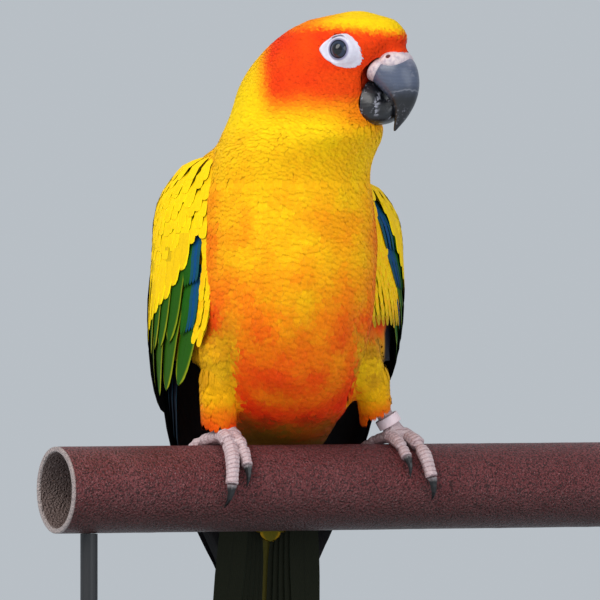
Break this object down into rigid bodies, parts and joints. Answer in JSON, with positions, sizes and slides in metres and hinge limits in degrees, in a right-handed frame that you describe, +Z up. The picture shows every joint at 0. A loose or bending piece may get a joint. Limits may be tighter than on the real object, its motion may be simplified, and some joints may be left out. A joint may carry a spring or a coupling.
{
  "type": "sun conure",
  "caption": "Life-size still model of a sun conure gripping a short cut length of painted pipe, with a leg band, held up by a plain display stand.",
  "frame": {"origin": "middle of the underside of the stand's base, on the floor", "axes": "+Z up; +X along the pipe, to the bird's left; the bird faces -Y, turned a little to its own right"},
  "size_m": [0.24, 0.124, 0.2987],
  "materials": {
    "plumage_red": "soft feathers, red-orange",
    "plumage_gold": "soft feathers, golden yellow",
    "plumage_orange": "soft feathers, yellow to orange",
    "wing_green": "feathers, yellow and green with blue and black flight feathers",
    "tail_olive": "feathers, olive and dark blue",
    "bill": "horn, dark grey, satin",
    "eye": "wet, dark",
    "foot": "scaly skin, pinkish grey",
    "claw": "horn, black",
    "band": "pale, plain",
    "pipe": "rough maroon paint",
    "stand": "matt black"
  },
  "bodies": {
    "root": {"head": "plumage_red", "neck": "plumage_gold", "torso": "plumage_orange", "thigh_left": "plumage_orange", "thigh_right": "plumage_orange", "wing_left": "wing_green", "wing_right": "wing_green", "tail": "tail_olive", "eye_left": "eye", "eye_right": "eye", "bill_upper": "bill", "bill_lower": "bill", "foot_left": "foot", "foot_right": "foot", "claw_left_1": "claw", "claw_left_2": "claw", "claw_left_3": "claw", "claw_left_4": "claw", "claw_right_1": "claw", "claw_right_2": "claw", "claw_right_3": "claw", "claw_right_4": "claw", "leg_band": "band", "perch": "pipe", "stand_base": "stand", "stand_rod_left": "stand", "stand_rod_right": "stand"}
  },
  "joints": []
}
